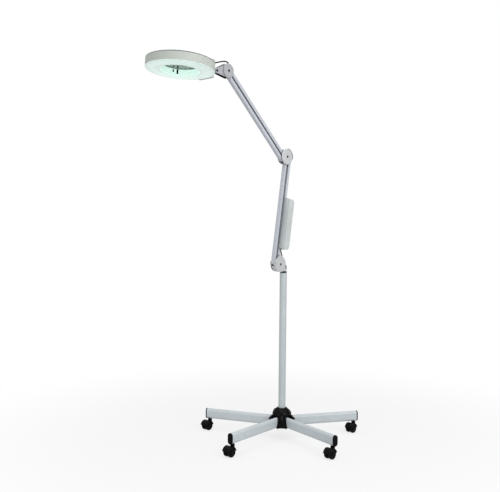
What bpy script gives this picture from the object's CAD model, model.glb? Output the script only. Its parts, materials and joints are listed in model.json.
"""A magnifier lamp on a castored stand: painted column, sprung arms, round head with a ring tube.

The floor is z = 0 and +Z is up. The column rises near the Z axis and the arms and head lie
along X, with the head out towards +X. Metres throughout, except where a name or comment says mm.
"""
import json
import math
from functools import cached_property

import bmesh
import bpy
from mathutils import Matrix, Vector


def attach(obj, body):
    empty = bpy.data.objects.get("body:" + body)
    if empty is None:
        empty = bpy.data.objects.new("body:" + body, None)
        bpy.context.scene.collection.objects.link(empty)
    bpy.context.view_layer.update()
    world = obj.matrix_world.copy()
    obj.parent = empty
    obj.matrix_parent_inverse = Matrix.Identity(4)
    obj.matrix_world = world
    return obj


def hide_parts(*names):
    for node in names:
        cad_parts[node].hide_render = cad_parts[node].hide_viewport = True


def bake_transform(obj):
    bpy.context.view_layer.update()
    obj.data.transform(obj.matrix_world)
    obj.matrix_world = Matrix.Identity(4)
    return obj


MM = 0.001


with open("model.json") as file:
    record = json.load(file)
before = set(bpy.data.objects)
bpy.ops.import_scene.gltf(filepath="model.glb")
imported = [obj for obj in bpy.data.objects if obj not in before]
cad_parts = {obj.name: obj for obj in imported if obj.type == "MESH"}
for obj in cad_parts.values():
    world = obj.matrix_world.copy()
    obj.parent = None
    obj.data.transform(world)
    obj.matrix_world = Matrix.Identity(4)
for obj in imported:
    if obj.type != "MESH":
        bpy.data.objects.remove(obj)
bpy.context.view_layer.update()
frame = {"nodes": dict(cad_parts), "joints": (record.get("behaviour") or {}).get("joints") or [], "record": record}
NODES = frame["nodes"]
JOINTS = {j["name"]: Vector(j["pos_m"]) for j in frame["joints"]}

# Reference points of the leads and the head
ELBOW = JOINTS["elbow_follow"] + Vector((1.5, 0, 10)) * MM
ARM_END = JOINTS["head_tilt"] - Vector((55, 0, -8)) * MM
HEAD_BASE = ARM_END + Vector((222, 0, -33.5)) * MM  # centre of the head's underside
HEAD_TILT = math.radians(5.1)
COLUMN_TOP = JOINTS["arm_swivel"].z


def head_point(out, side, up):
    """A point of the head's own tilted frame (mm): out along +X, side along +Y, up from below."""
    cos, sin = math.cos(HEAD_TILT), math.sin(HEAD_TILT)
    return HEAD_BASE + MM * Vector((out * cos - up * sin, side, out * sin + up * cos))


# ------------------------------------------------------------ material kit
FINISH = {}  # finished materials by name


def linear(rgb):
    """Linear colour from sRGB values of 0 to 255."""
    return tuple(v / 12.92 if v <= 0.04045 else ((v + 0.055) / 1.055) ** 2.4
                 for v in (byte / 255.0 for byte in rgb))


def tint(colour, by):
    return tuple(min(1.0, v * by) for v in colour)


class Mat:
    """A builder for procedural node materials, driven by object coordinates in metres."""

    def __init__(self, name):
        material = bpy.data.materials.new(name)
        material.use_nodes = True
        self.tree = material.node_tree
        self.tree.nodes.clear()
        self.out = self.node("ShaderNodeOutputMaterial")
        self.bsdf = self.node("ShaderNodeBsdfPrincipled")
        self.put(self.out.inputs["Surface"], self.bsdf.outputs["BSDF"])
        FINISH[name] = material

    @cached_property
    def place(self):
        return self.node("ShaderNodeTexCoord").outputs["Object"]

    @cached_property
    def normal(self):
        return self.node("ShaderNodeNewGeometry").outputs["Normal"]

    def node(self, kind, **settings):
        node = self.tree.nodes.new(kind)
        for key, value in settings.items():
            setattr(node, key, value)
        return node

    def put(self, socket, value):
        """Link a socket, or set its value; an RGB colour gets an alpha of 1."""
        if isinstance(value, bpy.types.NodeSocket):
            self.tree.links.new(value, socket)
        elif isinstance(value, (tuple, list)) and len(value) == 3 and socket.type == "RGBA":
            socket.default_value = (*value, 1.0)
        else:
            socket.default_value = value

    def noise(self, scale=1.0, detail=2.0, rough=0.5, distortion=0.0, stretch=None, turn=(0, 0, 0)):
        """Noise texture; stretch gives each axis its own frequency, after a turn in radians."""
        vector = self.place
        if stretch:
            mapping = self.node("ShaderNodeMapping")
            self.put(mapping.inputs["Vector"], vector)
            mapping.inputs["Scale"].default_value = stretch
            mapping.inputs["Rotation"].default_value = turn
            vector = mapping.outputs["Vector"]
        node = self.node("ShaderNodeTexNoise")
        self.put(node.inputs["Vector"], vector)
        node.inputs["Scale"].default_value = scale
        node.inputs["Detail"].default_value = detail
        node.inputs["Roughness"].default_value = rough
        node.inputs["Distortion"].default_value = distortion
        return node.outputs["Fac"]

    def ramp(self, value, span=(0.3, 0.7), to=(0.0, 1.0), smooth=False):
        """Map the span of a value onto another range, clamped. The default span suits noise."""
        node = self.node("ShaderNodeMapRange", clamp=True)
        if smooth:
            node.interpolation_type = "SMOOTHSTEP"
        self.put(node.inputs["Value"], value)
        for key, limit in zip(("From Min", "From Max", "To Min", "To Max"), (*span, *to)):
            self.put(node.inputs[key], limit)
        return node.outputs["Result"]

    def math(self, operation, first, second=0.0):
        node = self.node("ShaderNodeMath", operation=operation)
        self.put(node.inputs[0], first)
        self.put(node.inputs[1], second)
        return node.outputs[0]

    def plus(self, first, second):
        return self.math("ADD", first, second)

    def times(self, first, second):
        return self.math("MULTIPLY", first, second)

    def length(self, x, y):
        return self.math("SQRT", self.plus(self.times(x, x), self.times(y, y)))

    def wave(self, value, pitch):
        return self.math("SINE", self.times(value, 2 * math.pi / pitch))

    def vector_math(self, operation, first, second):
        node = self.node("ShaderNodeVectorMath", operation=operation)
        self.put(node.inputs[0], first)
        self.put(node.inputs[1], second)
        return node.outputs

    def mix(self, factor, first, second):
        node = self.node("ShaderNodeMix", data_type="RGBA")
        self.put(node.inputs["Factor"], factor)
        for key, colour in (("A", first), ("B", second)):
            self.put([s for s in node.inputs if s.name == key and s.type == "RGBA"][0], colour)
        return [s for s in node.outputs if s.type == "RGBA"][0]

    def vary(self, noise, base, low, high):
        """The base colour, wandering between two brightnesses."""
        return self.mix(self.ramp(noise), tint(base, by=low), tint(base, by=high))

    def xyz(self, vector=None):
        node = self.node("ShaderNodeSeparateXYZ")
        self.put(node.inputs[0], vector or self.place)
        return node.outputs

    def edge(self, radius):
        """Near 1 on outer and inner edges, 0 on flats."""
        bevel = self.node("ShaderNodeBevel", samples=4)
        bevel.inputs["Radius"].default_value = radius
        dot = self.vector_math("DOT_PRODUCT", bevel.outputs["Normal"], self.normal)["Value"]
        return self.ramp(self.math("SUBTRACT", 1.0, dot), span=(0.02, 0.22), smooth=True)

    def tucked(self, reach):
        """Near 1 in narrow gaps and deep corners, where grime gathers, 0 in the open."""
        node = self.node("ShaderNodeAmbientOcclusion", samples=6)
        node.inputs["Distance"].default_value = reach
        return self.ramp(node.outputs["AO"], span=(0.25, 0.8), to=(1.0, 0.0), smooth=True)

    def up(self):
        """How far a face looks up, 0 to 1."""
        return self.ramp(self.xyz(self.normal)[2], span=(0.2, 0.95))

    def bump(self, height, strength, depth_mm):
        node = self.node("ShaderNodeBump")
        node.inputs["Strength"].default_value = strength
        node.inputs["Distance"].default_value = depth_mm * MM
        self.put(node.inputs["Height"], height)
        return node.outputs["Normal"]

    def set(self, key, value):
        self.put(self.bsdf.inputs[key], value)

    def end(self, colour, rough, metal=0.0, normal=None, coat=0.0, coat_rough=0.15, spec=0.5):
        self.set("Base Color", colour)
        self.set("Roughness", rough)
        self.set("Metallic", metal)
        self.set("Coat Weight", coat)
        self.set("Coat Roughness", coat_rough)
        self.set("Specular IOR Level", spec)
        if normal is not None:
            self.set("Normal", normal)


# --------------------------------------------------------- material recipes
def paint(name, rgb, rough, grain, grain_mm, wear=0.35, worn=None, coat=0.25,
          streak=(60, 60, 9), grime=0.5, spec=0.5, dusty=0.1, rub=0.0011, reach=0.014):
    """Enamel on metal: orange peel, slow tone shifts, handling marks, rubbed edges.

    grain, grain_mm: frequency and depth of the peel; streak: frequencies of the marks;
    rub: width of the worn edges; reach: how far grime spreads out of a gap.
    """
    mat = Mat(name)
    base = linear(rgb)
    slow = mat.noise(scale=7.0, detail=3, rough=0.55)
    mid = mat.noise(scale=45.0, detail=4, rough=0.6)
    marks = mat.noise(detail=5, rough=0.62, distortion=0.2, stretch=streak)
    fine = mat.noise(scale=grain)
    colour = mat.vary(slow, base, low=0.94, high=1.05)
    colour = mat.mix(mat.ramp(mid, span=(0.35, 0.75), to=(0, 0.35)), colour, tint(base, by=0.9))
    mark_grey = (0.30, 0.29, 0.27)
    colour = mat.mix(mat.ramp(marks, span=(0.58, 0.8), to=(0, 0.16)), colour, mark_grey)
    patchy = mat.ramp(mat.noise(scale=16.0, detail=3), to=(0.75, 1.0))
    edge = mat.times(mat.edge(rub), patchy)
    worn_colour = linear(worn) if worn else tint(base, by=1.22)
    colour = mat.mix(mat.times(edge, wear), colour, worn_colour)
    colour = mat.mix(mat.times(mat.tucked(reach), grime), colour, tint(base, by=0.16))
    dust = mat.times(mat.up(), mat.ramp(mid, span=(0.35, 0.7), to=(0.1 * dusty, dusty)))
    dust_grey = (0.62, 0.61, 0.58)
    colour = mat.mix(dust, colour, dust_grey)
    gloss = mat.ramp(marks, span=(0.3, 0.75), to=(rough - 0.07, rough + 0.12))
    gloss = mat.plus(gloss, mat.times(dust, 0.8))
    peel = mat.plus(mat.times(fine, 0.6), mat.times(mat.noise(scale=grain * 0.33, detail=1), 0.5))
    mat.end(colour, gloss, normal=mat.bump(peel, strength=0.5, depth_mm=grain_mm),
            coat=coat, coat_rough=0.22, spec=spec)


def plastic(name, rgb, rough, grain, grain_mm, spec=0.5, dust=0.1, scuff=0.2, coat=0.0,
            grime=0.45, pale=0.05):
    """Moulded plastic: fine texture, flow lines, dust on top, paler rubbed edges.

    scuff: strength of the rubbed edges; pale: how much lighter they are than the base.
    """
    mat = Mat(name)
    base = linear(rgb)
    slow = mat.noise(scale=9.0, detail=3)
    mid = mat.noise(scale=70.0, detail=4, rough=0.6)
    flow = mat.noise(detail=3, distortion=1.2, stretch=(20, 20, 55))
    colour = mat.vary(slow, base, low=0.92, high=1.08)
    colour = mat.mix(mat.ramp(flow, span=(0.4, 0.75), to=(0, 0.25)), colour, tint(base, by=1.18))
    edge = mat.times(mat.edge(radius=0.0009), mat.ramp(mid, span=(0.32, 0.65), to=(0.25, 1.0)))
    rubbed = tuple(min(1, v * 1.5 + pale) for v in base)
    colour = mat.mix(mat.times(edge, scuff), colour, rubbed)
    colour = mat.mix(mat.times(mat.tucked(reach=0.010), grime), colour, tint(base, by=0.22))
    dust_grey = (0.55, 0.54, 0.52)
    dusted = mat.times(mat.up(), mat.ramp(mid, to=(0.1 * dust, dust)))
    colour = mat.mix(dusted, colour, dust_grey)
    scratch = mat.noise(rough=0.7, distortion=3.0, stretch=(30, 420, 160), turn=(0.4, 0.9, 0.2))
    gloss = mat.ramp(mid, to=(rough - 0.06, rough + 0.09))
    gloss = mat.plus(gloss, mat.ramp(scratch, span=(0.62, 0.75), to=(0.0, 0.12)))
    grooves = mat.times(mat.ramp(scratch, span=(0.66, 0.74)), -0.6)
    height = mat.plus(mat.noise(scale=grain, rough=0.6), grooves)
    mat.end(colour, gloss, normal=mat.bump(height, strength=0.5, depth_mm=grain_mm),
            coat=coat, coat_rough=0.12, spec=spec)


def steel(name, base, rough):
    """Bare or plated steel: fine drawn lines, tarnish in patches, brighter edges."""
    mat = Mat(name)
    lines = mat.noise(detail=3, rough=0.6, stretch=(900, 900, 60))
    patch = mat.noise(scale=60.0, detail=4, rough=0.6, distortion=0.4)
    colour = mat.vary(lines, base, low=0.88, high=1.1)
    tarnish = (0.25, 0.22, 0.19)
    colour = mat.mix(mat.ramp(patch, span=(0.5, 0.75), to=(0, 0.3)), colour, tarnish)
    colour = mat.mix(mat.times(mat.edge(radius=0.0006), 0.4), colour, tint(base, by=1.35))
    gloss = mat.plus(mat.ramp(lines, to=(rough - 0.05, rough + 0.08)),
                     mat.ramp(patch, span=(0.5, 0.8), to=(0, 0.15)))
    mat.end(colour, gloss, metal=1.0, normal=mat.bump(lines, strength=0.25, depth_mm=0.01))


def cable_rubber():
    """Soft matt black with a fine grain and a dusty bloom."""
    mat = Mat("cable_rubber")
    slow = mat.noise(scale=60.0, detail=3, rough=0.6)
    fine = mat.noise(scale=1500.0, rough=0.6)
    colour = mat.vary(slow, (0.004, 0.004, 0.0045), low=0.8, high=1.7)
    bloom = (0.4, 0.39, 0.37)
    colour = mat.mix(mat.times(mat.up(), 0.02), colour, bloom)
    mat.end(colour, mat.ramp(slow, to=(0.4, 0.56)), coat_rough=0.2, spec=0.15,
            normal=mat.bump(fine, strength=0.5, depth_mm=0.03))


def diffuser_plastic():
    """Milky ring: concentric prism lines and a glow, darker where the tube's holder sits."""
    tube_radius, line_pitch, strength = 0.092, 0.004, 0.44
    mat = Mat("diffuser_plastic")
    # radius about the head's axis
    offset = mat.vector_math("SUBTRACT", mat.place, HEAD_BASE)[0]
    turned = mat.node("ShaderNodeVectorRotate", rotation_type="Y_AXIS")
    mat.put(turned.inputs["Vector"], offset)
    turned.inputs["Angle"].default_value = HEAD_TILT
    x, y, _ = mat.xyz(turned.outputs[0])
    radius = mat.length(x, y)
    # the glow is brightest under the tube
    off_tube = mat.math("ABSOLUTE", mat.math("SUBTRACT", radius, tube_radius))
    glow = mat.ramp(off_tube, span=(0.0, 0.03), to=(1.0, 0.8), smooth=True)
    holder = mat.times(
        mat.ramp(x, span=(-0.110, -0.070), to=(1.0, 0.0), smooth=True),
        mat.ramp(mat.math("ABSOLUTE", y), span=(0.010, 0.030), to=(1.0, 0.0), smooth=True))
    glow = mat.times(glow, mat.ramp(holder, span=(0, 1), to=(1.0, 0.86)))
    slow = mat.noise(scale=18.0, detail=3)
    glow = mat.times(glow, mat.ramp(slow, to=(0.97, 1.03)))
    lines = mat.wave(radius, pitch=line_pitch)
    glow = mat.times(glow, mat.ramp(lines, span=(-1, 1), to=(1.12, 0.84)))
    fine = mat.noise(scale=900.0)
    milky, milky_pale, groove = (0.73, 0.88, 0.84), (0.79, 0.92, 0.88), (0.40, 0.56, 0.53)
    colour = mat.mix(mat.ramp(slow), milky, milky_pale)
    colour = mat.mix(mat.ramp(lines, span=(-1, 1), to=(0, 0.3)), colour, groove)
    # the ring's inner wall glows greener and stronger
    wall = mat.ramp(radius, span=(0.0655, 0.0685), to=(1.0, 0.0))
    edge_tone = (0.85, 0.95, 0.92)
    colour = mat.mix(mat.times(mat.edge(radius=0.0008), 0.2), colour, edge_tone)
    glow = mat.times(glow, mat.ramp(wall, span=(0, 1), to=(1.0, 1.6)))
    face_glow, wall_glow = (0.84, 0.97, 0.92), (0.70, 1.0, 0.86)
    mat.set("Emission Color", mat.mix(wall, face_glow, wall_glow))
    mat.set("Emission Strength", mat.times(glow, strength))
    height = mat.plus(mat.times(lines, 0.4), mat.times(fine, 0.4))
    mat.end(colour, mat.ramp(slow, to=(0.28, 0.4)), coat=0.3, coat_rough=0.1,
            normal=mat.bump(height, strength=0.35, depth_mm=0.06))


def tube_glass():
    """Lit fluorescent tube."""
    mat = Mat("tube_glass")
    slow = mat.noise(scale=30.0, detail=3)
    white, pale_white, light = (0.84, 0.88, 0.84), (0.92, 0.94, 0.9), (0.80, 1.0, 0.92)
    mat.set("Emission Color", light)
    mat.set("Emission Strength", mat.ramp(slow, to=(0.9, 1.1)))
    mat.end(mat.mix(mat.ramp(slow), white, pale_white),
            mat.ramp(mat.noise(scale=200.0), to=(0.12, 0.22)),
            normal=mat.bump(mat.noise(scale=400.0), strength=0.1, depth_mm=0.02))


def lens_glass():
    """Ground glass: clear, a green cast, a few specks and a fine swirl in the polish."""
    mat = Mat("lens_glass")
    specks = mat.noise(scale=500.0, rough=0.4)
    smear = mat.noise(detail=4, rough=0.6, distortion=1.5, stretch=(30, 30, 30))
    green, pale_green = (0.82, 0.95, 0.90), (0.88, 0.98, 0.94)
    mat.set("Transmission Weight", 1.0)
    mat.set("IOR", 1.52)
    gloss = mat.plus(mat.ramp(smear, span=(0.35, 0.75), to=(0.0, 0.05)),
                     mat.ramp(specks, span=(0.74, 0.8), to=(0, 0.2)))
    mat.end(mat.mix(mat.ramp(smear), green, pale_green), gloss,
            normal=mat.bump(smear, strength=0.05, depth_mm=0.02))


def choke_iron():
    """Laminated iron with patches of rust; the laminations are stacked along Y."""
    mat = Mat("choke_iron")
    sheets = mat.wave(mat.xyz()[1], pitch=0.0007)
    patches = mat.noise(scale=120.0, detail=4, rough=0.6)
    dark, light, rust = (0.10, 0.08, 0.07), (0.26, 0.22, 0.19), (0.25, 0.11, 0.05)
    colour = mat.mix(mat.ramp(sheets, span=(-1, 1)), dark, light)
    colour = mat.mix(mat.ramp(patches, span=(0.5, 0.75), to=(0, 0.5)), colour, rust)
    mat.end(colour, mat.ramp(patches, to=(0.4, 0.6)), metal=0.6,
            normal=mat.bump(sheets, strength=0.4, depth_mm=0.08))


# ---------------------------------------------------------------- materials
paint("leg_paint", (207, 215, 219), rough=0.42, grain=620, grain_mm=0.035)
paint("column_paint", (200, 209, 212), rough=0.4, grain=620, grain_mm=0.035, streak=(60, 60, 5))
paint("arm_paint", (207, 211, 220), rough=0.34, grain=700, grain_mm=0.02, wear=0.95,
      worn=(92, 95, 106), coat=0.3, grime=0.92, dusty=0.04, rub=0.0022, reach=0.022)
paint("white_casting", (216, 218, 222), rough=0.42, grain=420, grain_mm=0.05, wear=0.4,
      worn=(150, 151, 156), grime=0.7)
paint("plate_paint", (184, 186, 192), rough=0.36, grain=700, grain_mm=0.02, wear=0.6,
      worn=(120, 121, 128), grime=0.7)
paint("lug_paint", (190, 193, 196), rough=0.4, grain=500, grain_mm=0.04, wear=0.5,
      worn=(120, 121, 124), grime=0.7)
paint("black_plate", (13, 13, 15), rough=0.3, grain=700, grain_mm=0.02, wear=0.25,
      worn=(52, 52, 54), coat=0.0, spec=0.2, dusty=0.02)
paint("dark_steel", (16, 16, 18), rough=0.4, grain=500, grain_mm=0.05, wear=0.3,
      worn=(70, 69, 67), coat=0.0, spec=0.25, dusty=0.03)
paint("black_bolt", (12, 12, 13), rough=0.3, grain=900, grain_mm=0.01, worn=(64, 63, 60),
      coat=0.0, spec=0.3, dusty=0.02)
paint("head_paint", (198, 204, 197), rough=0.42, grain=700, grain_mm=0.02, wear=0.3,
      coat=0.15, spec=0.3)
paint("reflector_white", (238, 239, 236), rough=0.3, grain=700, grain_mm=0.02, wear=0.2)
plastic("black_plastic", (6, 6, 8), rough=0.26, grain=1500, grain_mm=0.02, spec=0.13,
        dust=0.008, scuff=0.12, pale=0.012)
plastic("wheel_plastic", (7, 7, 8), rough=0.36, grain=900, grain_mm=0.03, spec=0.1,
        dust=0.01, pale=0.014)
for name, rgb in (("white_plastic", (208, 210, 212)), ("grey_plastic", (178, 180, 184))):
    plastic(name, rgb, rough=0.3, grain=1500, grain_mm=0.015, dust=0.08, coat=0.2, scuff=0.1)
plastic("box_plastic", (206, 212, 211), rough=0.46, grain=1200, grain_mm=0.05)
plastic("box_shade", (186, 193, 194), rough=0.46, grain=1200, grain_mm=0.05, grime=0.8)
plastic("cover_green", (58, 92, 78), rough=0.5, grain=1200, grain_mm=0.04, dust=0.05, spec=0.3)
plastic("cover_plastic", (96, 110, 102), rough=0.44, grain=1200, grain_mm=0.04, dust=0.08)
for name, rgb in (("holder_plastic", (222, 222, 216)), ("ring_plastic", (196, 216, 206))):
    plastic(name, rgb, rough=0.4, grain=1200, grain_mm=0.03)
steel("zinc_steel", (0.62, 0.63, 0.65), rough=0.28)
steel("spring_steel", (0.42, 0.42, 0.43), rough=0.32)
choke_iron()
diffuser_plastic()
tube_glass()
lens_glass()
cable_rubber()

# --------------------------------------------------- finish of the CAD nodes
SLOTS = {s["node"]: s["material_slot"] for s in frame["record"]["subparts"]}
# Nodes whose shade differs from the rest of their slot
OWN_FINISH = {"head_cap": "grey_plastic", "ballast_tray": "box_shade", "lens_cover": "cover_green"}
OWN_FINISH.update({f"caster_pins_{k}": "dark_steel" for k in range(1, 6)})

DEFAULT_BEVEL = 0.35  # mm, as in the table
BEVELS = {
    "leg_end_caps": 0.8, "hub_shell": 0.7, "column_bushing": 0.7, "ballast_cover": 0.9,
    "ballast_tray": 0.5, "bracket_cover": 0.7, "elbow_cap": 0.5, "head_cap": 0.5,
    "arm_bracket": 0.8, "head_lug": 0.6, "head_housing": 0.7, "top_cover": 0.5,
    "lens_cover": 0.4, "diffuser": 0.15, "bracket_knob": 0.8, "elbow_knob": 0.8,
    "lens_ring": 0.3, "switch_rocker": 0.4, "lamp_holder": 0.5, "ballast_choke": 0.5,
}
NO_BEVEL = {"lower_spring", "upper_spring", "lens", "lamp_tube", "head_cable", "power_cable"}


def modifier(part, name, kind, **settings):
    added = part.modifiers.new(name, kind)
    for key, value in settings.items():
        setattr(added, key, value)


def dress(name, part):
    """Give a CAD node its material, smooth shading and rounded edges."""
    data = part.data
    if "custom_normal" in data.attributes:
        data.attributes.remove(data.attributes["custom_normal"])
    data.materials.clear()
    data.materials.append(FINISH[OWN_FINISH.get(name, SLOTS[name])])
    data.polygons.foreach_set("use_smooth", [True] * len(data.polygons))
    modifier(part, "weld", "WELD", merge_threshold=2e-6)
    if name in NO_BEVEL:
        return
    modifier(part, "flat", "DECIMATE", decimate_type="DISSOLVE", angle_limit=math.radians(0.4))
    modifier(part, "bevel", "BEVEL", width=BEVELS.get(name, DEFAULT_BEVEL) * MM, segments=2,
             limit_method="ANGLE", angle_limit=math.radians(34), use_clamp_overlap=True,
             miter_outer="MITER_SHARP")
    modifier(part, "normals", "WEIGHTED_NORMAL", keep_sharp=True, weight=60)


for name, part in NODES.items():
    dress(name, part)


# -------------------------------------------------------------- mesh helpers
def circle(sides):
    return (2 * math.pi * k / sides for k in range(sides))


def link_mesh(name, mesh, material):
    """Turn a bmesh into a linked object."""
    data = bpy.data.meshes.new(name)
    mesh.to_mesh(data)
    mesh.free()
    data.materials.append(FINISH[material])
    made = bpy.data.objects.new(name, data)
    bpy.context.scene.collection.objects.link(made)
    return made


def skin(mesh, rings):
    """Join closed rings of vertices in turn and cap both ends."""
    count = len(rings[0])
    for near, far in zip(rings, rings[1:]):
        for k in range(count):
            after = (k + 1) % count
            mesh.faces.new((near[k], near[after], far[after], far[k]))
    mesh.faces.new(list(reversed(rings[0])))
    mesh.faces.new(rings[-1])


# --------------------------------------------------------------------- leads
SPAN_SAMPLES = 10  # curve samples between two stations
LEAD_STEP = 0.0011  # spacing of a lead's rings
LEAD_SIDES = 20
LEAD_RADIUS = 2.3 * MM
ELBOW_LEAD_RADIUS = 1.7 * MM
RIB_HEIGHT = 0.00022
RIB_FREQUENCY = 2600  # radians per metre


def catmull(points):
    """Points of a Catmull-Rom curve through the stations."""
    p = [Vector(point) for point in points]
    p = [p[0] * 2 - p[1]] + p + [p[-1] * 2 - p[-2]]
    curve = []
    for a, b, c, d in zip(p, p[1:], p[2:], p[3:]):
        for k in range(SPAN_SAMPLES):
            t = k / SPAN_SAMPLES
            curve.append(0.5 * ((2 * b) + (c - a) * t + (2 * a - 5 * b + 4 * c - d) * t * t
                                + (3 * b - a - 3 * c + d) * t ** 3))
    curve.append(p[-2])
    return curve


def resample(points):
    """Evenly spaced points along a line, and the line's length."""
    length, reached = 0.0, [0.0]
    for a, b in zip(points, points[1:]):
        length += (b - a).length
        reached.append(length)
    count = max(8, int(length / LEAD_STEP))
    even, j = [], 0
    for i in range(count + 1):
        s = length * i / count
        while j < len(reached) - 2 and reached[j + 1] < s:
            j += 1
        part_way = (s - reached[j]) / max(reached[j + 1] - reached[j], 1e-12)
        even.append(points[j].lerp(points[j + 1], min(max(part_way, 0), 1)))
    return even, length


def lead(name, stations, radius_at):
    """A closed round tube along a smooth curve; radius_at(to_end) gives its radius."""
    even, length = resample(catmull(stations))
    last = len(even) - 1
    mesh = bmesh.new()
    side = (even[1] - even[0]).normalized().orthogonal().normalized()
    rings = []
    for i, point in enumerate(even):
        along = (even[min(i + 1, last)] - even[max(i - 1, 0)]).normalized()
        side = (side - along * side.dot(along)).normalized()
        up = along.cross(side)
        radius = radius_at(length - length * i / last)
        rings.append([mesh.verts.new(point + radius * (math.cos(f) * side + math.sin(f) * up))
                      for f in circle(LEAD_SIDES)])
    skin(mesh, rings)
    mesh.normal_update()
    bmesh.ops.recalc_face_normals(mesh, faces=mesh.faces)
    made = link_mesh(name, mesh, "cable_rubber")
    polygons = made.data.polygons
    polygons.foreach_set("use_smooth", [len(p.vertices) == 4 for p in polygons])
    return made


def relief(end_radius, zone):
    """Radius of a lead with a ribbed, tapered strain relief at its far end."""
    def radius_at(to_end):
        if to_end >= zone:
            return LEAD_RADIUS
        k = to_end / zone
        rib = RIB_HEIGHT * (math.sin(to_end * RIB_FREQUENCY) > 0.25) * (1 - k)
        return max(LEAD_RADIUS, end_radius + (LEAD_RADIUS - end_radius) * k ** 1.3 + rib)
    return radius_at


def beside(origin, x, z):
    """A point of the plane y = 0, offset in mm from a reference point."""
    return (origin.x + x * MM, 0.0, origin.z + z * MM)


# x, z from ARM_END, mm; the lead then enters the head's neck
HEAD_LEAD = [
    (-12.0, 14.0), (-12.4, 23.0), (-8.6, 30.2), (0.0, 33.4), (12.0, 32.8),
    (30.0, 28.2), (50.0, 22.0), (68.0, 16.4), (82.0, 12.3),
]
# x, y, z from the Z axis at COLUMN_TOP, mm
SUPPLY_LEAD = [
    (-10.1, 4.85, 6.6), (-10.1, 4.85, 14), (-10.0, 4.8, 24), (-5.0, 4.5, 34), (1.2, 4.2, 45),
    (7.4, 3.5, 56), (13.2, 2.0, 69.5), (17.3, 0.6, 85), (18.6, 0.0, 95.6),
]
# x, z from ELBOW, mm
ELBOW_LEAD = [
    (-7.0, 22.0), (-12.0, 28.0), (-21.0, 32.2), (-33.0, 27.0), (-43.0, 15.5),
    (-46.5, 3.5), (-43.0, -7.0), (-34.0, -13.0), (-24.0, -15.0),
]

stations = [beside(ARM_END, x, z) for x, z in HEAD_LEAD] + [head_point(-125.5, 0, 55)]
cable = lead("head_lead", stations, relief(end_radius=3.5 * MM, zone=9 * MM))
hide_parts("head_cable")
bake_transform(cable)

stations = [(x * MM, y * MM, COLUMN_TOP + z * MM) for x, y, z in SUPPLY_LEAD]
supply = lead("supply_lead", stations, relief(end_radius=3.6 * MM, zone=10 * MM))
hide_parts("power_cable")
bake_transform(supply)

stations = [beside(ELBOW, x, z) for x, z in ELBOW_LEAD]
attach(lead("elbow_lead", stations, lambda to_end: ELBOW_LEAD_RADIUS), "elbow")


# ---------------------------------------------------------------- lens clips
def clip(name, angle, foot, top, span):
    """A bent spring clip on the lens well's wall: a flat leaf with a hooked foot.

    angle, span: its middle and width about the head's axis, degrees; foot, top: heights, mm.
    """
    # radius, height, mm
    outline = [
        (64.2, foot + 0.9), (64.9, foot), (65.9, foot + 0.5), (65.95, top), (65.2, top + 0.5),
        (65.15, top - 0.3), (65.3, top - 1.0), (65.3, foot + 1.3), (64.9, foot + 0.8),
        (64.6, foot + 1.3),
    ]
    mesh = bmesh.new()
    sections, steps = [], 6
    for i in range(steps + 1):
        a = math.radians(angle + (i / steps - 0.5) * span)
        sections.append([mesh.verts.new(head_point(r * math.cos(a), r * math.sin(a), height))
                         for r, height in outline])
    skin(mesh, sections)
    bmesh.ops.recalc_face_normals(mesh, faces=mesh.faces)
    made = link_mesh(name, mesh, "black_bolt")
    modifier(made, "bevel", "BEVEL", width=0.1 * MM, segments=1, limit_method="ANGLE",
             angle_limit=math.radians(40))
    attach(made, "head")


clip("lens_clip_1", angle=249.0, foot=8.4, top=17.4, span=4.1)
clip("lens_clip_2", angle=236.0, foot=3.6, top=21.0, span=5.4)

# ------------------------------------------------------ floor, light, camera
WHITE = 1.0  # strength of floor and world as the camera sees them
AMBIENT = 0.45  # their strength as light on the product
FLOOR_RINGS = [0.6, 1.2, 1.8, 2.6, 3.6, 5.0, 9.0, 18.0, 40.0]
FLOOR_SIDES = 64


def floor_material():
    """Pale matt near the stand, fading to plain white further out."""
    mat = Mat("pale_floor")
    x, y, _ = mat.xyz()
    far = mat.ramp(mat.length(x, y), span=(0.4, 1.6), to=(0.74, 1.0), smooth=True)
    mat.end((0.86, 0.86, 0.86), rough=0.7, spec=0.2)
    glow = mat.node("ShaderNodeEmission")
    mat.put(glow.inputs["Color"], (1, 1, 1))
    seen = mat.node("ShaderNodeLightPath").outputs["Is Camera Ray"]
    mat.put(glow.inputs["Strength"], mat.ramp(seen, span=(0, 1), to=(AMBIENT, WHITE)))
    blend = mat.node("ShaderNodeMixShader")
    for socket, value in zip(blend.inputs, (far, mat.bsdf.outputs[0], glow.outputs[0])):
        mat.put(socket, value)
    mat.put(mat.out.inputs["Surface"], blend.outputs[0])


def pale_floor():
    mesh = bmesh.new()
    inner = [mesh.verts.new((0, 0, 0))]
    for r in FLOOR_RINGS:
        ring = [mesh.verts.new((r * math.cos(a), r * math.sin(a), 0.0))
                for a in circle(FLOOR_SIDES)]
        for k in range(FLOOR_SIDES):
            after = (k + 1) % FLOOR_SIDES
            if len(inner) == 1:
                mesh.faces.new((inner[0], ring[k], ring[after]))
            else:
                mesh.faces.new((inner[k], ring[k], ring[after], inner[after]))
        inner = ring
    floor_material()
    link_mesh("pale_floor", mesh, "pale_floor")


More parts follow.
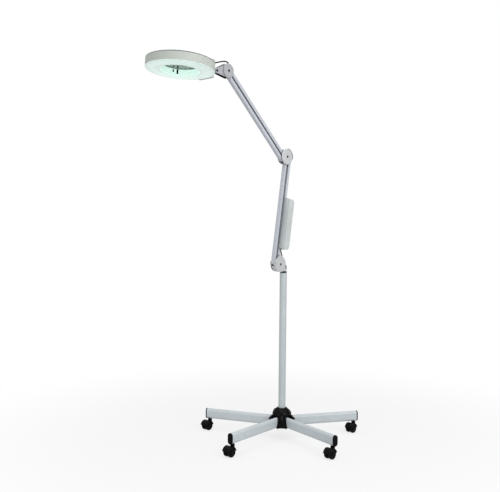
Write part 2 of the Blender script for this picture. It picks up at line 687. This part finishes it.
def studio_world():
    world = bpy.data.worlds.new("studio")
    bpy.context.scene.world = world
    world.use_nodes = True
    nodes, links = world.node_tree.nodes, world.node_tree.links
    nodes.clear()
    out = nodes.new("ShaderNodeOutputWorld")
    background = nodes.new("ShaderNodeBackground")
    path = nodes.new("ShaderNodeLightPath")
    strength = nodes.new("ShaderNodeMapRange")
    links.new(path.outputs["Is Camera Ray"], strength.inputs["Value"])
    strength.inputs["To Min"].default_value = AMBIENT
    strength.inputs["To Max"].default_value = WHITE
    links.new(strength.outputs["Result"], background.inputs["Strength"])
    background.inputs["Color"].default_value = (1, 1, 1, 1)
    links.new(background.outputs[0], out.inputs["Surface"])


pale_floor()
studio_world()

VIEW = Vector((-0.7350, -0.6776, -0.0244)).normalized()
RIGHT = Vector((-0.6778, 0.7352, 0)).normalized()
UP = RIGHT.cross(VIEW).normalized()
EYE = Vector((2.1725, 1.8229, 0.824))
ROLL = math.radians(0.55)
MIDDLE = Vector((0.25, 0, 0.75))  # where the lights aim
TO_CAMERA = Vector((-VIEW.x, -VIEW.y, 0)).normalized()


def area(name, near, right, up, size, watts):
    """An area light aimed at MIDDLE, placed from it towards the camera, to its right and up."""
    data = bpy.data.lights.new(name, "AREA")
    data.shape = "RECTANGLE"
    data.size, data.size_y = size
    data.energy = watts
    light = bpy.data.objects.new(name, data)
    at = MIDDLE + TO_CAMERA * near + RIGHT * right + Vector((0, 0, up))
    light.location = at
    light.rotation_mode = "QUATERNION"
    light.rotation_quaternion = (MIDDLE - at).to_track_quat("-Z", "Y")
    bpy.context.scene.collection.objects.link(light)


area("key", near=1.7, right=1.6, up=0.9, size=(2.1, 2.4), watts=33.0)
area("fill", near=2.0, right=-1.7, up=0.2, size=(2.0, 2.4), watts=16.0)
area("top", near=0, right=0, up=2.3, size=(2.2, 2.2), watts=22.0)


def camera():
    scene = bpy.context.scene
    data = bpy.data.cameras.new("camera")
    data.lens, data.sensor_width = 51.84, 36.0
    data.clip_start, data.clip_end = 0.05, 100
    made = bpy.data.objects.new("camera", data)
    scene.collection.objects.link(made)
    right = math.cos(ROLL) * RIGHT + math.sin(ROLL) * UP
    up = math.cos(ROLL) * UP - math.sin(ROLL) * RIGHT
    turn = Matrix((right, up, -VIEW)).transposed().to_4x4()
    made.matrix_world = Matrix.Translation(EYE) @ turn
    scene.camera = made
    scene.view_settings.view_transform = "Standard"
    scene.view_settings.look = "None"


camera()
